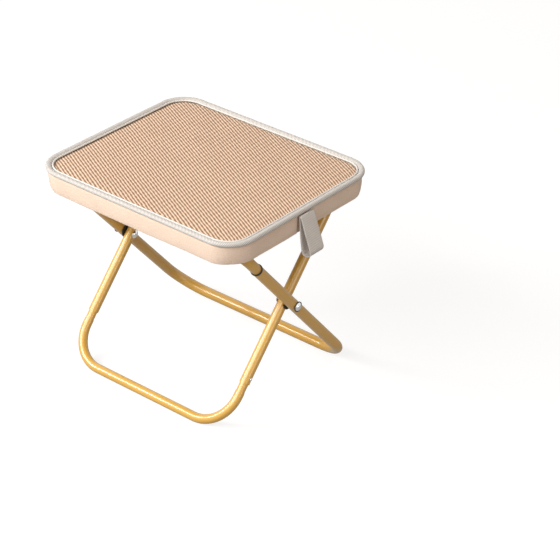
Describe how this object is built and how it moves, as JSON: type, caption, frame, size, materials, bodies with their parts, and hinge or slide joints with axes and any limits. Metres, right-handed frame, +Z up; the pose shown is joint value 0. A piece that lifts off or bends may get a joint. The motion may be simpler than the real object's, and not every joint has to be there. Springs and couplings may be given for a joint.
{
  "type": "folding camping stool",
  "caption": "Low folding stool with a flat mesh seat in two hinged halves, edge piping, a fabric side band, pull straps and crossed U-shaped tube legs.",
  "frame": {"origin": "on the floor, under the middle of the seat", "axes": "+X along the long side of the seat, +Y towards the back, +Z up"},
  "size_m": [0.3832, 0.2974, 0.306],
  "materials": {
    "tube_paint": "golden yellow powder coat, satin",
    "black_nylon": "matte black",
    "bright_steel": "bright",
    "hinge_steel": "zinc plated",
    "plywood": "raw plywood",
    "foam": "thin foam sheet",
    "mesh_fabric": "woven mesh with diagonal ribs",
    "piping_tape": "twill tape binding",
    "suede_fabric": "suede-like fabric",
    "webbing": "woven webbing"
  },
  "bodies": {
    "outer_legs": {"outer_lower_frame": "tube_paint", "outer_upper_frame": "tube_paint", "outer_joint_rings": "black_nylon", "pivot_rivet_right": "bright_steel", "pivot_rivet_left": "bright_steel", "rivet_head_washers": "black_nylon"},
    "inner_legs": {"inner_lower_frame": "tube_paint", "inner_upper_frame": "tube_paint", "inner_joint_rivets": "bright_steel", "pivot_spacers": "black_nylon"},
    "seat_front": {"seat_board_front": "plywood", "foam_pad_front": "foam", "mesh_cover_front": "mesh_fabric", "piping_front": "piping_tape", "side_band_front": "suede_fabric", "hinge_leaves_front": "hinge_steel", "hinge_pins": "hinge_steel", "hinge_screws_front": "bright_steel", "bar_loops_front": "webbing"},
    "seat_back": {"seat_board_back": "plywood", "foam_pad_back": "foam", "mesh_cover_back": "mesh_fabric", "piping_back": "piping_tape", "side_band_back": "suede_fabric", "hinge_leaves_back": "hinge_steel", "hinge_screws_back": "bright_steel", "bar_loops_back": "webbing"},
    "strap_seam_right": {"strap_anchor_right": "webbing"},
    "strap_right": {"pull_strap_right": "webbing"},
    "strap_seam_left": {"strap_anchor_left": "webbing"},
    "strap_left": {"pull_strap_left": "webbing"}
  },
  "joints": [
    {"name": "leg_fold", "type": "hinge", "parent": "outer_legs", "child": "inner_legs", "pos_m": [0, 0, 0.1509], "axis": [1, 0, 0], "range_deg": [0, 71], "deforming": ["side_band_front", "side_band_back", "bar_loops_back"]},
    {"name": "seat_front_tilt", "type": "hinge", "parent": "outer_legs", "child": "seat_front", "pos_m": [0, -0.11467, 0.2815], "axis": [1, 0, 0], "range_deg": [0, 112.29]},
    {"name": "seat_hinge", "type": "hinge", "parent": "seat_front", "child": "seat_back", "pos_m": [0, 0, 0.2865], "axis": [1, 0, 0], "range_deg": [-157.85, 0]},
    {"name": "strap_right_turn", "type": "hinge", "parent": "seat_front", "child": "strap_seam_right", "pos_m": [0.1753, 0, 0.2865], "axis": [1, 0, 0], "range_deg": [-78.95, 0]},
    {"name": "strap_right_lift", "type": "hinge", "parent": "strap_seam_right", "child": "strap_right", "pos_m": [0.1772, 0, 0.2979], "axis": [0, -1, 0], "range_deg": [0, 150]},
    {"name": "strap_left_turn", "type": "hinge", "parent": "seat_front", "child": "strap_seam_left", "pos_m": [-0.1753, 0, 0.2865], "axis": [1, 0, 0], "range_deg": [-78.95, 0]},
    {"name": "strap_left_lift", "type": "hinge", "parent": "strap_seam_left", "child": "strap_left", "pos_m": [-0.1772, 0, 0.2979], "axis": [0, 1, 0], "range_deg": [0, 150]}
  ],
  "couplings": [
    {"joint": "seat_front_tilt", "follows": "leg_fold", "ratio": 1.5809},
    {"joint": "seat_hinge", "follows": "leg_fold", "ratio": -2.2226},
    {"joint": "strap_right_turn", "follows": "leg_fold", "ratio": -1.1113},
    {"joint": "strap_left_turn", "follows": "leg_fold", "ratio": -1.1113}
  ]
}
